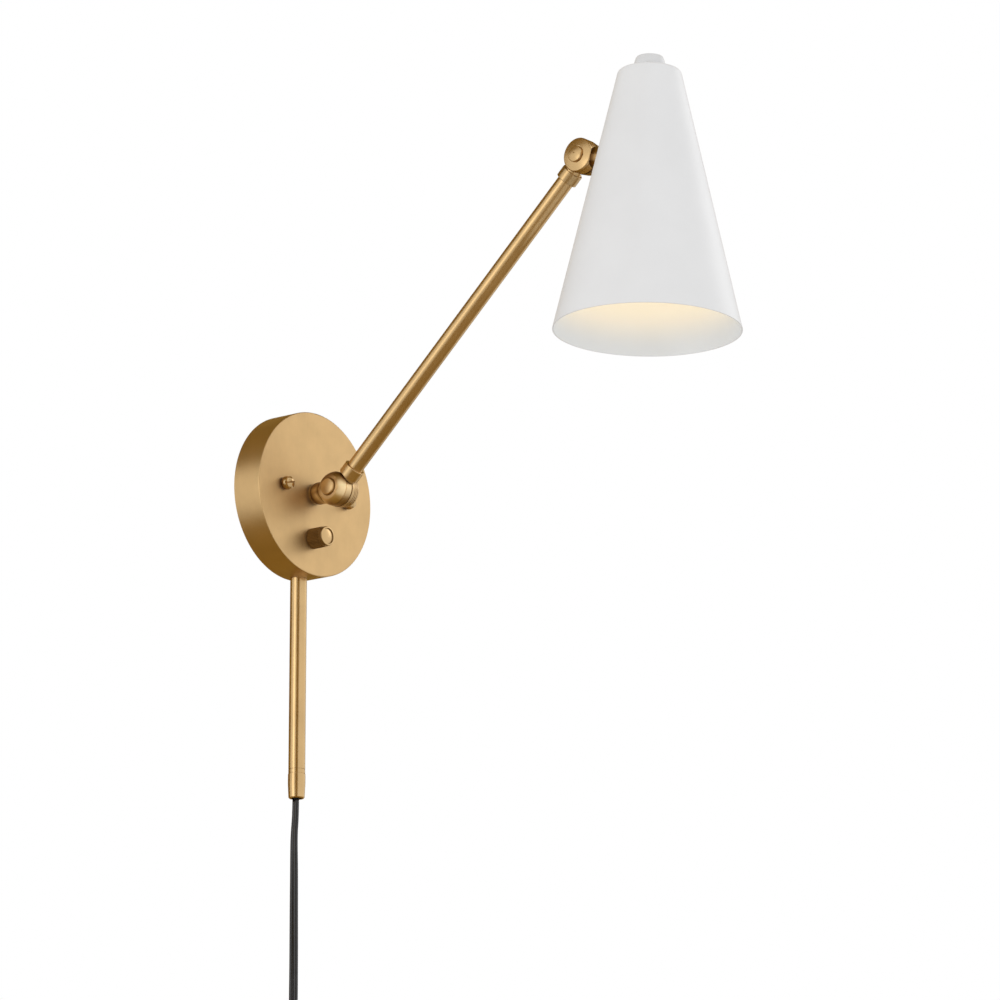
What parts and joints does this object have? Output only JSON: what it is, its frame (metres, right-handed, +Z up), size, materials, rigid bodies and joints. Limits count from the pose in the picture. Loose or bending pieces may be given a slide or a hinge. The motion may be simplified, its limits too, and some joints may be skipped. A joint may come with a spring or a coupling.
{
  "type": "swing arm wall sconce",
  "caption": "Plug-in wall lamp: round canopy with dimmer knob and cord tube, hinged arm on friction knuckles and a tilting cone shade.",
  "frame": {"origin": "middle of the wall plate's back, on the wall", "axes": "+Y into the wall, +Z up, the room towards -Y"},
  "size_m": [0.1382, 0.4151, 0.8372],
  "materials": {
    "satin_brass": "brushed satin brass",
    "zinc_steel": "zinc-plated steel",
    "white_paint": "satin white paint",
    "black_pvc": "black PVC",
    "lead_sleeve": "pale sleeve",
    "nylon": "nylon",
    "shell_brass": "plain brass",
    "phenolic": "black phenolic",
    "bulb_metal": "nickelled",
    "opal_glass": "opal"
  },
  "bodies": {
    "base": {"canopy": "satin_brass", "wall_plate": "zinc_steel", "canopy_screws": "satin_brass", "swivel_bush": "satin_brass", "dimmer_case": "phenolic", "dimmer_bush": "zinc_steel", "dimmer_nut": "zinc_steel", "post_lead": "lead_sleeve", "cord_tube": "satin_brass", "drop_pipe": "zinc_steel", "drop_nut": "zinc_steel", "cord_ferrule": "satin_brass", "cord_bush": "nylon", "cord_in_tube": "black_pvc", "cord": "black_pvc", "cord_coil": "black_pvc", "cord_tie": "black_pvc", "plug_body": "black_pvc", "plug_blades": "shell_brass"},
    "knob": {"dimmer_knob": "satin_brass", "dimmer_shaft": "satin_brass"},
    "swivel": {"swivel_pipe": "satin_brass", "swivel_washer": "satin_brass", "swivel_nut": "satin_brass", "post_knuckle": "satin_brass", "lower_pivot_bolt": "satin_brass", "lower_cap_nut": "satin_brass", "lower_friction_ring": "satin_brass"},
    "arm": {"lower_arm_knuckle": "satin_brass", "upper_arm_knuckle": "satin_brass", "lower_collar": "satin_brass", "upper_collar": "satin_brass", "arm_tube": "satin_brass", "arm_lead": "lead_sleeve", "upper_pivot_bolt": "satin_brass", "upper_cap_nut": "satin_brass", "upper_friction_ring": "satin_brass"},
    "head": {"head_knuckle": "satin_brass", "head_pipe": "zinc_steel", "saddle_washer": "zinc_steel", "shade_nut": "zinc_steel", "shade": "white_paint", "shade_cap": "white_paint", "holder_pipe": "zinc_steel", "holder_nut": "zinc_steel", "holder_cap": "shell_brass", "holder_body": "phenolic", "screw_shell": "shell_brass", "centre_contact": "shell_brass", "bulb_base": "bulb_metal", "bulb_globe": "opal_glass", "head_lead": "lead_sleeve"}
  },
  "joints": [
    {"name": "post_swivel", "type": "hinge", "parent": "base", "child": "swivel", "pos_m": [0, -0.0265, 0], "axis": [0, 1, 0], "range_deg": [-80, 80]},
    {"name": "arm_pitch", "type": "hinge", "parent": "swivel", "child": "arm", "pos_m": [0, -0.0489, 0], "axis": [0.9997, 0, -0.0244], "range_deg": [-38, 82]},
    {"name": "head_tilt", "type": "hinge", "parent": "arm", "child": "head", "pos_m": [0.00532, -0.28447, 0.21769], "axis": [0.9997, 0, -0.0244], "range_deg": [-100, 35]},
    {"name": "dimmer_turn", "type": "hinge", "parent": "base", "child": "knob", "pos_m": [-0.003, -0.033, -0.0353], "axis": [0, 1, 0], "range_deg": [-270, 0]}
  ]
}
